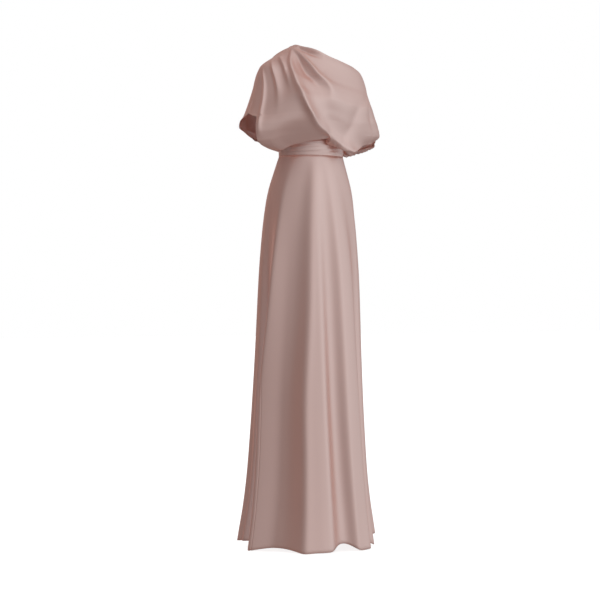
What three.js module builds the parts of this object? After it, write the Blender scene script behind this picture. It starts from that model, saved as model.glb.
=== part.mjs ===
// A long one-shoulder evening dress in satin, worn and hollow: a draped cape bodice that blouses
// over a tucked waistband, and a flared skirt that hangs in soft folds to the floor.
// Millimetres, +Z up, the front faces -Y and the wearer's right is -X. Heights are taken from the
// floor while the dress is drawn. The finished group is then lowered, so that its origin lies on
// the covered shoulder, where the wearer carries the dress.
import * as THREE from "three";

// Cloth, seams and colour
const CLOTH = 1.6;
const BAND_CLOTH = 2.4;
const SEAM_GAP = 0.3;
const SATIN_ROSE = 0xb89890;
const SATIN_ROUGHNESS = 0.42;

// Waist and waistband. The band stands a little proud of the waist, and more at its tucks.
const WAIST_HEIGHT = 1207;
const BAND_TOP = 1254;
const WAIST_HALF_WIDTH = 106;
const WAIST_HALF_DEPTH = 82;
const BAND_PROUD = 1.2;
const BAND_TUCK = 1.4;

// Where the wearer's shoulder carries the dress
const SHOULDER = { x: -118, y: 6, height: 1511 };

// Cape: the plane of its arm lines, half the gap between its front and back there, how full its
// rings are, and how fast they take up the rise and fall of the lowest edge.
const SIDE_LINE_Y = 6;
const CAPE_HALF_GAP = 0.2;
const FULLNESS = 0.86;
const SWAY_POWER = 3;

// Below its lowest edge the cape turns under by TUCK_TURN, and comes over a hump to the waist.
const TUCK_TURN = 12;
const TUCK_HUMP = 16;

// Folds of the cape: how steeply their flanks fall, where they calm down beside a seam, and how
// many points each one's line is measured from.
const FLANK_SLOPE = 2;
const SEAM_CALM = 14;
const FOLD_SAMPLES = 120;

// Skirt folds: how hollow their steep and easy flanks are, the width of a crest as a share of its
// flank, and the degrees over which the cloth evens them out. The hem's rise and fall reaches up
// so far.
const STEEP_FLANK = 2.6;
const EASY_FLANK = 1.9;
const CREST_WIDTH = 0.05;
const SOFTENING = { hem: 2, hip: 3, steps: [-1.6, -0.8, 0, 0.8, 1.6] };
const HEM_REACH = 240;

// Columns across each panel, and rows down each stretch of it
const CAPE_STOPS = [0, 0.74, 1, 2];
const FRONT_GRID = { columns: 52, rows: [14, 10, 5] };
const BACK_GRID = { columns: 34, rows: [10, 8, 4] };
const SKIRT_BREAK = 1000;
const SKIRT_ROWS = [6, 12];
const SKIRT_COLUMNS = { front: 54, back: 36 };
const BAND_COLUMNS = 26;
const BAND_ROWS = 5;
const STEP = 2e-3;

// On its right side the front falls away from its largest fold in a flatter line: the power that
// rounds its rings there, up to one angle, and back to FULLNESS at another.
const FLAT_SIDE = [
  { stage: 0, power: 0.86 },
  { stage: 0.12, power: 0.98 },
  { stage: 0.35, power: 1.14 },
  { stage: 0.55, power: 1.08 },
  { stage: 0.74, power: 0.94 },
  { stage: 0.88, power: 0.87 },
  { stage: 1, power: 0.86 },
];
const FLAT_TO = 40;
const FULL_FROM = 90;

// Rings of the cape. stage runs from 0 at the neckline to 1 at the lowest edge. Each ring is
// slung between a point on the right arm line and one on the left arm line, and reaches out by
// front and back.
const SHOULDER_RINGS = [
  { stage: 0, rightX: -50, rightZ: 1551, leftX: 156, leftZ: 1493, front: 66, back: 58 },
  { stage: 0.05, rightX: -73, rightZ: 1539, leftX: 177, leftZ: 1481, front: 72, back: 62 },
  { stage: 0.1, rightX: -100, rightZ: 1523, leftX: 190, leftZ: 1463, front: 78, back: 66 },
  { stage: 0.15, rightX: -129, rightZ: 1507, leftX: 197, leftZ: 1445, front: 85, back: 71 },
  { stage: 0.2, rightX: -156, rightZ: 1492, leftX: 201, leftZ: 1429, front: 92, back: 76 },
  { stage: 0.25, rightX: -176, rightZ: 1476, leftX: 203, leftZ: 1414, front: 99, back: 81 },
  { stage: 0.33, rightX: -187, rightZ: 1453, leftX: 206, leftZ: 1395, front: 111, back: 87 },
  { stage: 0.45, rightX: -198, rightZ: 1416, leftX: 212, leftZ: 1372, front: 121, back: 92 },
  { stage: 0.57, rightX: -210, rightZ: 1380, leftX: 219, leftZ: 1351, front: 127, back: 95 },
  { stage: 0.74, rightX: -229, rightZ: 1331, leftX: 232, leftZ: 1319, front: 124, back: 97 },
];

// How far the front and back of a ring tip down, as a share of how far they reach out
const LEANS = [
  { stage: 0, front: 0.23, back: -0.12 },
  { stage: 0.05, front: 0.22, back: -0.12 },
  { stage: 0.1, front: 0.2, back: -0.1 },
  { stage: 0.15, front: 0.18, back: -0.08 },
  { stage: 0.2, front: 0.15, back: -0.06 },
  { stage: 0.25, front: 0.12, back: -0.04 },
  { stage: 0.33, front: 0.09, back: -0.02 },
  { stage: 0.45, front: 0.05, back: 0 },
  { stage: 0.57, front: 0.02, back: 0 },
  { stage: 0.74, front: 0, back: 0 },
  { stage: 1, front: 0, back: 0 },
];

// Below the shoulder the sleeves are open: a cut is half the gap between front and back there.
const FRONT_RINGS = [
  { stage: 0.78, rightX: -239, rightZ: 1320, leftX: 239, leftZ: 1305, depth: 122.5, rightCut: 43, leftCut: 20 },
  { stage: 0.83, rightX: -252, rightZ: 1303, leftX: 245, leftZ: 1290, depth: 119, rightCut: 50, leftCut: 28 },
  { stage: 0.88, rightX: -257, rightZ: 1284, leftX: 251, leftZ: 1275, depth: 114, rightCut: 52, leftCut: 34 },
  { stage: 0.93, rightX: -257, rightZ: 1264, leftX: 254, leftZ: 1260, depth: 107.5, rightCut: 52, leftCut: 42 },
  { stage: 0.96, rightX: -250, rightZ: 1252, leftX: 249, leftZ: 1250, depth: 103, rightCut: 53, leftCut: 48 },
  { stage: 0.98, rightX: -236, rightZ: 1244, leftX: 240, leftZ: 1243, depth: 100, rightCut: 55, leftCut: 52 },
  { stage: 1, rightX: -205, rightZ: 1235, leftX: 225, leftZ: 1235, depth: 97, rightCut: 57, leftCut: 54 },
];
const BACK_RINGS = [
  { stage: 0.78, rightX: -235, rightZ: 1318, leftX: 244, leftZ: 1301, depth: 98, rightCut: 15, leftCut: 6 },
  { stage: 0.83, rightX: -249, rightZ: 1299, leftX: 253, leftZ: 1283, depth: 99, rightCut: 38, leftCut: 8 },
  { stage: 0.88, rightX: -257, rightZ: 1280, leftX: 262, leftZ: 1264, depth: 100, rightCut: 50, leftCut: 10 },
  { stage: 0.93, rightX: -238, rightZ: 1264, leftX: 268, leftZ: 1250, depth: 100, rightCut: 51, leftCut: 16 },
  { stage: 0.96, rightX: -220, rightZ: 1250, leftX: 259, leftZ: 1242, depth: 99, rightCut: 52, leftCut: 25 },
  { stage: 0.98, rightX: -209, rightZ: 1243, leftX: 248, leftZ: 1238, depth: 98, rightCut: 53, leftCut: 35 },
  { stage: 1, rightX: -200, rightZ: 1235, leftX: 230, leftZ: 1235, depth: 97, rightCut: 54, leftCut: 46 },
];

// Rise and fall of the lowest edge, by angle from the right arm line to the left one.
const FRONT_EDGE = [
  { angle: 0, lift: 0 },
  { angle: 16, lift: -11 },
  { angle: 30, lift: -18 },
  { angle: 40, lift: -15 },
  { angle: 50, lift: 0 },
  { angle: 60, lift: 11 },
  { angle: 70, lift: 21 },
  { angle: 80, lift: 29 },
  { angle: 86, lift: 34 },
  { angle: 94, lift: 19 },
  { angle: 99, lift: 4 },
  { angle: 105, lift: -12 },
  { angle: 110, lift: -8 },
  { angle: 120, lift: 0 },
  { angle: 130, lift: 11 },
  { angle: 150, lift: 20 },
  { angle: 180, lift: 20 },
];
const BACK_EDGE = [
  { angle: 0, lift: 0 },
  { angle: 20, lift: 13 },
  { angle: 34, lift: 17 },
  { angle: 50, lift: 10 },
  { angle: 70, lift: -8 },
  { angle: 90, lift: -17 },
  { angle: 120, lift: -18 },
  { angle: 140, lift: -10 },
  { angle: 160, lift: 3 },
  { angle: 180, lift: 24 },
];

// Folds of the cape's front, then of its back. Each is a ridge, or a groove where it is negative,
// with its place by stage and angle, its rise, and the reach of its right and left flanks.
const FRONT_FOLDS = [
  [
    { stage: 0.05, angle: 3, rise: 2, right: 6, left: 6 },
    { stage: 0.09, angle: 17, rise: 6, right: 6, left: 10 },
    { stage: 0.205, angle: 40, rise: 13, right: 8, left: 18 },
    { stage: 0.388, angle: 51.2, rise: 19, right: 11, left: 30 },
    { stage: 0.578, angle: 58.4, rise: 20, right: 13, left: 38 },
    { stage: 0.735, angle: 65.5, rise: 17, right: 14, left: 42 },
    { stage: 0.845, angle: 75, rise: 14, right: 14, left: 38 },
    { stage: 0.943, angle: 84.5, rise: 11, right: 13, left: 30 },
    { stage: 1, angle: 91, rise: 9, right: 12, left: 24 },
  ],
  [
    { stage: 0.26, angle: 42, rise: 0, right: 34, left: 20 },
    { stage: 0.42, angle: 50.5, rise: 11, right: 52, left: 22 },
    { stage: 0.58, angle: 57, rise: 23, right: 78, left: 26 },
    { stage: 0.735, angle: 63.5, rise: 26, right: 95, left: 30 },
    { stage: 0.86, angle: 72.5, rise: 23, right: 92, left: 32 },
    { stage: 1, angle: 86, rise: 19, right: 70, left: 30 },
  ],
  [
    { stage: 0.052, angle: 4, rise: 2, right: 6, left: 6 },
    { stage: 0.098, angle: 39, rise: 9, right: 7, left: 12 },
    { stage: 0.165, angle: 61, rise: 13, right: 11, left: 20 },
    { stage: 0.235, angle: 74, rise: 12, right: 14, left: 24 },
    { stage: 0.285, angle: 83.5, rise: 6, right: 18, left: 28 },
    { stage: 0.312, angle: 95, rise: 0, right: 22, left: 30 },
  ],
  [
    { stage: 0.125, angle: 4, rise: 1, right: 6, left: 6 },
    { stage: 0.16, angle: 15, rise: 6, right: 6, left: 9 },
    { stage: 0.198, angle: 28, rise: 9, right: 6, left: 13 },
    { stage: 0.307, angle: 41, rise: 8, right: 7, left: 18 },
    { stage: 0.4, angle: 45, rise: 5, right: 10, left: 22 },
    { stage: 0.5, angle: 48.5, rise: 2, right: 15, left: 26 },
    { stage: 0.62, angle: 53, rise: 0, right: 20, left: 30 },
  ],
  [
    { stage: 0.195, angle: 6, rise: 2, right: 6, left: 6 },
    { stage: 0.285, angle: 24, rise: 8, right: 6, left: 12 },
    { stage: 0.4, angle: 31, rise: 8, right: 6, left: 14 },
    { stage: 0.52, angle: 35, rise: 5, right: 9, left: 18 },
    { stage: 0.66, angle: 38, rise: 2, right: 14, left: 22 },
    { stage: 0.8, angle: 43, rise: 0, right: 18, left: 26 },
  ],
  [
    { stage: 0.283, angle: 5, rise: 2, right: 6, left: 6 },
    { stage: 0.395, angle: 14, rise: 6, right: 6, left: 6 },
    { stage: 0.547, angle: 18.5, rise: 8, right: 6, left: 7 },
    { stage: 0.738, angle: 20.5, rise: 7, right: 6, left: 8 },
    { stage: 0.838, angle: 25.5, rise: 5, right: 8, left: 10 },
    { stage: 0.93, angle: 28, rise: 0, right: 10, left: 14 },
  ],
  [
    { stage: 0.212, angle: 156, rise: 0, right: 18, left: 14 },
    { stage: 0.4, angle: 136, rise: -3, right: 20, left: 14 },
    { stage: 0.56, angle: 120, rise: -5, right: 30, left: 24 },
    { stage: 0.795, angle: 109.5, rise: -6, right: 34, left: 28 },
    { stage: 0.91, angle: 102.5, rise: -6, right: 32, left: 28 },
    { stage: 1, angle: 99, rise: -5, right: 30, left: 26 },
  ],
  [
    { stage: 0.485, angle: 136, rise: 0, right: 16, left: 12 },
    { stage: 0.772, angle: 137, rise: -5, right: 24, left: 16 },
    { stage: 0.925, angle: 139.5, rise: -3, right: 22, left: 16 },
    { stage: 1, angle: 141, rise: 0, right: 20, left: 16 },
  ],
  [
    { stage: 0.02, angle: 12, rise: 0, right: 6, left: 6 },
    { stage: 0.028, angle: 26, rise: -6, right: 7, left: 8 },
    { stage: 0.03, angle: 38, rise: -8, right: 8, left: 9 },
    { stage: 0.04, angle: 50, rise: -5, right: 9, left: 10 },
    { stage: 0.055, angle: 64, rise: 0, right: 10, left: 11 },
  ],
];
const BACK_FOLDS = [
  [
    { stage: 0.04, angle: 8, rise: 1, right: 6, left: 6 },
    { stage: 0.08, angle: 13, rise: 4, right: 6, left: 10 },
    { stage: 0.2, angle: 40, rise: 10, right: 10, left: 26 },
    { stage: 0.5, angle: 60, rise: 14, right: 15, left: 38 },
    { stage: 0.8, angle: 76, rise: 15, right: 20, left: 44 },
    { stage: 1, angle: 86, rise: 10, right: 24, left: 38 },
  ],
  [
    { stage: 0.14, angle: 12, rise: 0, right: 6, left: 7 },
    { stage: 0.36, angle: 40, rise: 9, right: 9, left: 20 },
    { stage: 0.62, angle: 50, rise: 6, right: 13, left: 24 },
    { stage: 0.9, angle: 56, rise: 0, right: 18, left: 26 },
  ],
  [
    { stage: 0.28, angle: 16, rise: 0, right: 6, left: 7 },
    { stage: 0.5, angle: 30, rise: 5, right: 7, left: 14 },
    { stage: 0.85, angle: 40, rise: 3, right: 10, left: 16 },
    { stage: 1, angle: 44, rise: 0, right: 12, left: 18 },
  ],
  [
    { stage: 0.3, angle: 126, rise: 0, right: 26, left: 14 },
    { stage: 0.65, angle: 122, rise: 9, right: 34, left: 20 },
    { stage: 1, angle: 118, rise: 10, right: 34, left: 24 },
  ],
  [
    { stage: 0.02, angle: 8, rise: 1, right: 6, left: 6 },
    { stage: 0.09, angle: 46, rise: 7, right: 8, left: 16 },
    { stage: 0.19, angle: 78, rise: 8, right: 12, left: 26 },
    { stage: 0.3, angle: 100, rise: 0, right: 20, left: 30 },
  ],
];

// The neckline's edge rolls outward beside the covered shoulder, between two angles.
const NECK_ROLL = { rise: 7, stages: 0.025, from: 10, to: 80 };

// Rings of the skirt, from its waist seam to the hem
const SKIRT_RINGS = [
  { height: 1207, half: 106, front: 82, back: 82 },
  { height: 1190, half: 111, front: 86, back: 89 },
  { height: 1150, half: 123, front: 95, back: 102 },
  { height: 1104, half: 137, front: 102, back: 112 },
  { height: 1057, half: 146, front: 106, back: 119 },
  { height: 964, half: 156, front: 111, back: 127 },
  { height: 825, half: 163, front: 117, back: 138 },
  { height: 639, half: 166, front: 126, back: 153 },
  { height: 453, half: 171, front: 136, back: 168 },
  { height: 267, half: 178, front: 148, back: 184 },
  { height: 127, half: 189, front: 158, back: 198 },
  { height: 0, half: 206, front: 168, back: 215 },
];

// Crests and hollows of the skirt in turn round it, a crest first: the angle of each and how far
// it stands out from the ring, both at four heights down the skirt, and how far the hem lifts.
const ANGLE_HEIGHTS = [1190, 800, 400, 0];
const RISE_HEIGHTS = [1080, 800, 400, 0];
const SKIRT_FOLDS = [
  { angles: [26, 9, -5, -4], rises: [1, 12, 27, 29], lift: 0 },
  { angles: [47, 36, 24, 22], rises: [-6, -16, -22, -24], lift: 12 },
  { angles: [64, 61, 54, 54], rises: [9, 17, 21, 24], lift: 0 },
  { angles: [69, 68, 65, 67], rises: [8, 13, 15, 17], lift: 2 },
  { angles: [71, 73, 74, 77], rises: [8, 15, 18, 18], lift: 3 },
  { angles: [76, 84, 87, 92], rises: [3, 0, -3, -7], lift: 22 },
  { angles: [86, 95, 97.5, 102.5], rises: [9, 17, 22, 22], lift: 3 },
  { angles: [90, 103, 104, 106], rises: [6, 15, 20, 19], lift: 1 },
  { angles: [100, 117, 118, 119], rises: [3, 11, 20, 24], lift: 3 },
  { angles: [114, 128, 129, 131], rises: [-1, -8, -14, -16], lift: 14 },
  { angles: [130, 141, 143, 146], rises: [1, 3, 5, 7], lift: 1 },
  { angles: [152, 156, 158, 161], rises: [-2, -10, -18, -24], lift: 24 },
  { angles: [172, 174, 177, 177], rises: [5, 18, 31, 43], lift: 26 },
  { angles: [192, 195, 197, 197], rises: [-2, -6, -10, -14], lift: 26 },
  { angles: [214, 217, 220, 219], rises: [3, 12, 20, 28], lift: 12 },
  { angles: [238, 240, 242, 243], rises: [-3, -9, -14, -20], lift: 22 },
  { angles: [260, 262, 263, 264], rises: [3, 10, 17, 24], lift: 8 },
  { angles: [282, 283, 284, 284], rises: [-2, -8, -13, -18], lift: 20 },
  { angles: [304, 303, 303, 303], rises: [3, 10, 17, 24], lift: 12 },
  { angles: [320, 317, 315, 314], rises: [-1, -4, -7, -10], lift: 22 },
  { angles: [338, 331, 327, 326], rises: [4, 13, 22, 31], lift: 17 },
  { angles: [362, 350, 344, 345], rises: [-4, -20, -35, -46], lift: 24 },
];

const { degToRad, radToDeg, lerp, clamp, smoothstep, mapLinear, euclideanModulo } = THREE.MathUtils;

// A smooth curve through one column of a table, that never overshoots its rows.
function smoothColumn(rows, at, column) {
  const x = rows.map((row) => row[at]);
  const y = rows.map((row) => row[column]);
  const slope = x.slice(1).map((next, i) => (y[i + 1] - y[i]) / (next - x[i]));
  const tangent = x.map((_, i) => {
    const before = slope[Math.max(i - 1, 0)];
    const after = slope[Math.min(i, slope.length - 1)];
    return before * after <= 0 ? 0 : (2 * before * after) / (before + after);
  });
  const [low, high] = [Math.min(x[0], x.at(-1)), Math.max(x[0], x.at(-1))];
  const isPast = x[1] > x[0] ? (value, row) => value > row : (value, row) => value < row;
  return (value) => {
    let i = 0;
    while (i < x.length - 2 && isPast(value, x[i + 1])) i += 1;
    const span = x[i + 1] - x[i];
    const t = (clamp(value, low, high) - x[i]) / span;
    const [t2, t3] = [t * t, t * t * t];
    return (
      (2 * t3 - 3 * t2 + 1) * y[i] +
      (t3 - 2 * t2 + t) * span * tangent[i] +
      (3 * t2 - 2 * t3) * y[i + 1] +
      (t3 - t2) * span * tangent[i + 1]
    );
  };
}

function smoothTable(rows, at) {
  const columns = Object.keys(rows[0]).filter((column) => column !== at);
  const curves = columns.map((column) => [column, smoothColumn(rows, at, column)]);
  return (value) => Object.fromEntries(curves.map(([column, curve]) => [column, curve(value)]));
}

// Rows spaced evenly over each stretch between two stops.
function rowsThrough(stops, counts) {
  const rows = [stops[0]];
  counts.forEach((count, i) => {
    for (let n = 1; n <= count; n += 1) rows.push(lerp(stops[i], stops[i + 1], n / count));
  });
  return rows;
}

// The outward normal of a surface whose first number runs across and second runs down.
function normalOf(surface, across, down) {
  const alongAcross = surface(across + STEP, down).sub(surface(across - STEP, down));
  const alongDown = surface(across, down + STEP).sub(surface(across, down - STEP));
  return alongDown.cross(alongAcross).normalize();
}

// One closed wall of cloth over a grid: the outer face, the same face moved in by the cloth's
// thickness, and four narrow edges. place gives where a column crosses a row.
function clothWall(surface, place, columns, rows, thickness) {
  const width = columns + 1;
  const outer = [];
  const inner = [];
  for (const down of rows) {
    for (let column = 0; column < width; column += 1) {
      const across = place(column / columns, down);
      const point = surface(across, down);
      outer.push(point);
      inner.push(point.clone().addScaledVector(normalOf(surface, across, down), -thickness));
    }
  }
  const at = (row, column, side) => (side * rows.length + row) * width + column;
  const index = [];
  const quad = (a, b, c, d) => index.push(a, b, c, a, c, d);
  const foot = rows.length - 1;
  for (let r = 0; r < foot; r += 1) {
    for (let c = 0; c < columns; c += 1) {
      quad(at(r, c, 0), at(r + 1, c, 0), at(r + 1, c + 1, 0), at(r, c + 1, 0));
      quad(at(r, c, 1), at(r, c + 1, 1), at(r + 1, c + 1, 1), at(r + 1, c, 1));
    }
    quad(at(r, 0, 0), at(r, 0, 1), at(r + 1, 0, 1), at(r + 1, 0, 0));
    quad(at(r, columns, 0), at(r + 1, columns, 0), at(r + 1, columns, 1), at(r, columns, 1));
  }
  for (let c = 0; c < columns; c += 1) {
    quad(at(0, c, 0), at(0, c + 1, 0), at(0, c + 1, 1), at(0, c, 1));
    quad(at(foot, c, 0), at(foot, c, 1), at(foot, c + 1, 1), at(foot, c + 1, 0));
  }
  return new THREE.BufferGeometry()
    .setFromPoints([...outer, ...inner])
    .setIndex(index);
}

// A fold that follows a smooth line over a form, through the places of its rows.
function foldLine(form, side, rows) {
  const knots = rows.map((row) => form(degToRad(row.angle), row.stage));
  let along = 0;
  const shape = rows.map((row, i) => {
    if (i > 0) along += knots[i].distanceTo(knots[i - 1]);
    return { ...row, along };
  });
  const curve = new THREE.CatmullRomCurve3(knots, false, "chordal");
  const points = curve.getSpacedPoints(FOLD_SAMPLES);
  const headings = points.map((_, i) => curve.getTangentAt(i / FOLD_SAMPLES));
  return { side, points, headings, pace: along / FOLD_SAMPLES, shapeAt: smoothTable(shape, "along") };
}

// How far a fold lifts a point, by the distance square to the fold's line.
function foldRise(fold, point, outward) {
  let nearest = 0;
  fold.points.forEach((each, i) => {
    const isNearer = each.distanceToSquared(point) < fold.points[nearest].distanceToSquared(point);
    if (isNearer) nearest = i;
  });
  const heading = fold.headings[nearest];
  const away = point.clone().sub(fold.points[nearest]);
  const shape = fold.shapeAt(nearest * fold.pace + away.dot(heading));
  const toRight = heading.clone().cross(outward).normalize().multiplyScalar(fold.side);
  const distance = away.dot(toRight);
  const reach = distance > 0 ? shape.right : shape.left;
  return shape.rise * Math.exp(1 - Math.hypot(1, (FLANK_SLOPE * distance) / reach));
}

// A panel of the cape: side is 1 at the front and -1 at the back. It joins the shoulder's rings,
// which have no cuts, with its own.
function capePanel(side, ownRings, edge, folds) {
  const shared = SHOULDER_RINGS.map(({ front, back, ...ring }) => ({
    ...ring,
    depth: side > 0 ? front : back,
    rightCut: 0,
    leftCut: 0,
  }));
  const panel = {
    side,
    rings: smoothTable([...shared, ...ownRings], "stage"),
    lean: smoothColumn(LEANS, "stage", side > 0 ? "front" : "back"),
    edgeLift: smoothColumn(edge, "angle", "lift"),
  };
  const form = (angle, stage) => capeForm(panel, angle, stage);
  return { ...panel, folds: folds.map((rows) => foldLine(form, side, rows)) };
}

const flatSide = smoothColumn(FLAT_SIDE, "stage", "power");

// The power that rounds a ring, from an ellipse at 1 to fuller ones below it.
function fullness(panel, angle, stage) {
  if (panel.side < 0) return FULLNESS;
  return lerp(flatSide(stage), FULLNESS, smoothstep(radToDeg(angle), FLAT_TO, FULL_FROM));
}

// A point of the cape without its folds. The angle runs from 0 at the right arm line to a half
// turn at the left arm line.
function capeForm(panel, angle, stage) {
  const ring = panel.rings(stage);
  const share = (1 - Math.cos(angle)) / 2;
  const turn = Math.sin(angle);
  const out = ring.depth * Math.sign(turn) * Math.abs(turn) ** fullness(panel, angle, stage);
  const lift = panel.edgeLift(radToDeg(angle)) * Math.max(stage, 0) ** SWAY_POWER;
  return new THREE.Vector3(
    lerp(ring.rightX, ring.leftX, share),
    SIDE_LINE_Y - panel.side * out,
    lerp(ring.rightZ, ring.leftZ, share) - panel.lean(stage) * out + lift,
  );
}

// Angles at which a ring meets the two sleeve openings, or the arm lines above them.
function capeSpan(panel, stage) {
  const ring = panel.rings(stage);
  const edge = (cut, angle) => {
    const share = Math.max(cut, CAPE_HALF_GAP) / ring.depth;
    return Math.asin(share ** (1 / fullness(panel, angle, stage)));
  };
  return [edge(ring.rightCut, 0), Math.PI - edge(ring.leftCut, Math.PI)];
}

function neckRollRise(angle, stage) {
  const turn = mapLinear(radToDeg(angle), NECK_ROLL.from, NECK_ROLL.to, 0, Math.PI);
  const roll = Math.sin(clamp(turn, 0, Math.PI)) ** 2;
  return NECK_ROLL.rise * roll * Math.exp(-((stage / NECK_ROLL.stages) ** 2));
}

// The cape with its folds, which die out at the shoulder seam.
function capeCloth(panel, angle, stage) {
  const point = capeForm(panel, angle, stage);
  const form = (across, down) => capeForm(panel, across, down);
  const outward = normalOf(form, angle, stage).multiplyScalar(panel.side);
  const folds = panel.folds.map((fold) => foldRise(fold, point, outward));
  const rise = folds.reduce((sum, each) => sum + each, neckRollRise(angle, stage));
  const seam = smoothstep(Math.abs(point.y - SIDE_LINE_Y), CAPE_HALF_GAP, SEAM_CALM);
  return point.addScaledVector(outward, rise * seam);
}

function waistPoint(side, angle) {
  return new THREE.Vector3(
    -WAIST_HALF_WIDTH * Math.cos(angle),
    -side * WAIST_HALF_DEPTH * Math.sin(angle),
    BAND_TOP + SEAM_GAP,
  );
}

// Past its lowest edge the cape turns under and goes back to the waist, for stages 1 to 2.
function capeTuck(panel, angle, stage) {
  const [right, left] = capeSpan(panel, 1);
  const gap = CAPE_HALF_GAP / WAIST_HALF_DEPTH;
  const waist = waistPoint(panel.side, mapLinear(angle, right, left, gap, Math.PI - gap));
  const edge = capeCloth(panel, angle, 1);
  const fall = edge.clone().sub(capeCloth(panel, angle, 1 - STEP)).normalize();
  const turned = edge.clone().addScaledVector(fall, TUCK_TURN);
  const outward = edge.clone().sub(waist).setZ(0).normalize();
  const raised = waist.clone().addScaledVector(outward, TUCK_TURN);
  raised.z += TUCK_HUMP;
  return new THREE.CubicBezierCurve3(edge, turned, raised, waist).getPoint(Math.min(stage - 1, 1));
}

// The wall's columns close up towards a sleeve opening and keep their places in the middle.
function capeWall(panel, grid) {
  const toAngle = (across) => (panel.side > 0 ? across : Math.PI - across);
  const surface = (across, stage) => (stage > 1 ? capeTuck : capeCloth)(panel, toAngle(across), stage);
  const place = (share, stage) => {
    const [right, left] = capeSpan(panel, Math.min(stage, 1));
    const fromRight = panel.side > 0 ? share : 1 - share;
    const nearRight = Math.max(1 - 2 * fromRight, 0) ** 2;
    const nearLeft = Math.max(2 * fromRight - 1, 0) ** 2;
    return toAngle(Math.PI * fromRight + right * nearRight - (Math.PI - left) * nearLeft);
  };
  return clothWall(surface, place, grid.columns, rowsThrough(CAPE_STOPS, grid.rows), CLOTH);
}

const skirtRing = smoothTable(SKIRT_RINGS, "height");

const skirtFolds = SKIRT_FOLDS.map(({ angles, rises, lift }) => {
  const path = ANGLE_HEIGHTS.map((height, i) => ({ height, angle: angles[i] }));
  const steps = RISE_HEIGHTS.map((height, i) => ({ height, rise: rises[i] }));
  return {
    lift,
    angleAt: smoothColumn(path, "height", "angle"),
    riseAt: smoothColumn([{ height: WAIST_HEIGHT, rise: 0 }, ...steps], "height", "rise"),
  };
});

// Share of a fold's rise, from 1 at its rounded crest down to 0 at the hollow beside it.
function flank(onward, power) {
  const rounded = Math.hypot(onward, CREST_WIDTH) - CREST_WIDTH;
  return (1 - rounded / (Math.hypot(1, CREST_WIDTH) - CREST_WIDTH)) ** power;
}

// The skirt's folds at an angle in degrees. A crest is steep towards the fold before it.
function skirtFold(angle, height) {
  const places = skirtFolds.map((fold) => fold.angleAt(height));
  const turned = places[0] + euclideanModulo(angle - places[0], 360);
  const last = places.length - 1;
  let i = last;
  while (i > 0 && places[i] > turned) i -= 1;
  const end = i === last ? places[0] + 360 : places[i + 1];
  const [here, there] = [skirtFolds[i], skirtFolds[i === last ? 0 : i + 1]];
  const onward = (turned - places[i]) / (end - places[i]);
  const falls = i % 2 === 0;
  const [crest, hollow] = falls ? [here, there] : [there, here];
  const share = flank(falls ? onward : 1 - onward, falls ? EASY_FLANK : STEEP_FLANK);
  return {
    rise: lerp(hollow.riseAt(height), crest.riseAt(height), share),
    lift: lerp(hollow.lift, crest.lift, share),
  };
}

// Folds evened out over a few degrees, as the cloth's stiffness does, most of all at the hip.
function softSkirtFold(angle, height) {
  const reach = lerp(SOFTENING.hem, SOFTENING.hip, smoothstep(height, 0, WAIST_HEIGHT));
  const weights = SOFTENING.steps.map((step) => Math.exp((-step * step) / 2));
  const total = weights.reduce((sum, weight) => sum + weight, 0);
  let [rise, lift] = [0, 0];
  SOFTENING.steps.forEach((step, i) => {
    const fold = skirtFold(angle + step * reach, height);
    rise += (fold.rise * weights[i]) / total;
    lift += (fold.lift * weights[i]) / total;
  });
  return { rise, lift };
}

function skirtCloth(angle, height) {
  const ring = skirtRing(height);
  const fore = Math.sin(angle);
  const depth = fore > 0 ? ring.front : ring.back;
  const fold = softSkirtFold(radToDeg(angle), height);
  const out = new THREE.Vector2(-Math.cos(angle) * depth, -fore * ring.half).normalize();
  const nearHem = smoothstep(1 - height / HEM_REACH, 0, 1);
  return new THREE.Vector3(
    -Math.cos(angle) * ring.half + out.x * fold.rise,
    -fore * depth + out.y * fold.rise,
    height + fold.lift * nearHem,
  );
}

// Places columns evenly over the front or back half, short of the side seams.
function halfTurn(side) {
  const gap = SEAM_GAP / 2 / WAIST_HALF_DEPTH;
  const start = side > 0 ? 0 : Math.PI;
  return (share) => start + lerp(gap, Math.PI - gap, share);
}

function skirtPanel(side, columns) {
  const rows = rowsThrough([SEAM_GAP - WAIST_HEIGHT, -SKIRT_BREAK, 0], SKIRT_ROWS);
  return clothWall((angle, drop) => skirtCloth(angle, -drop), halfTurn(side), columns, rows, CLOTH);
}

function bandCloth(angle, height) {
  const share = (height - WAIST_HEIGHT) / (BAND_TOP - WAIST_HEIGHT);
  const proud = BAND_PROUD + BAND_TUCK * Math.sin(share * Math.PI * 2) ** 2;
  return new THREE.Vector3(
    -(WAIST_HALF_WIDTH + proud) * Math.cos(angle),
    -(WAIST_HALF_DEPTH + proud) * Math.sin(angle),
    height,
  );
}

function bandPanel(side) {
  const rows = rowsThrough([-BAND_TOP, -WAIST_HEIGHT], [BAND_ROWS]);
  const surface = (angle, drop) => bandCloth(angle, -drop);
  return clothWall(surface, halfTurn(side), BAND_COLUMNS, rows, BAND_CLOTH);
}

const PIECES = {
  bodice_front: capeWall(capePanel(1, FRONT_RINGS, FRONT_EDGE, FRONT_FOLDS), FRONT_GRID),
  bodice_back: capeWall(capePanel(-1, BACK_RINGS, BACK_EDGE, BACK_FOLDS), BACK_GRID),
  waistband_front: bandPanel(1),
  waistband_back: bandPanel(-1),
  skirt_front: skirtPanel(1, SKIRT_COLUMNS.front),
  skirt_back: skirtPanel(-1, SKIRT_COLUMNS.back),
};

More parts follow.
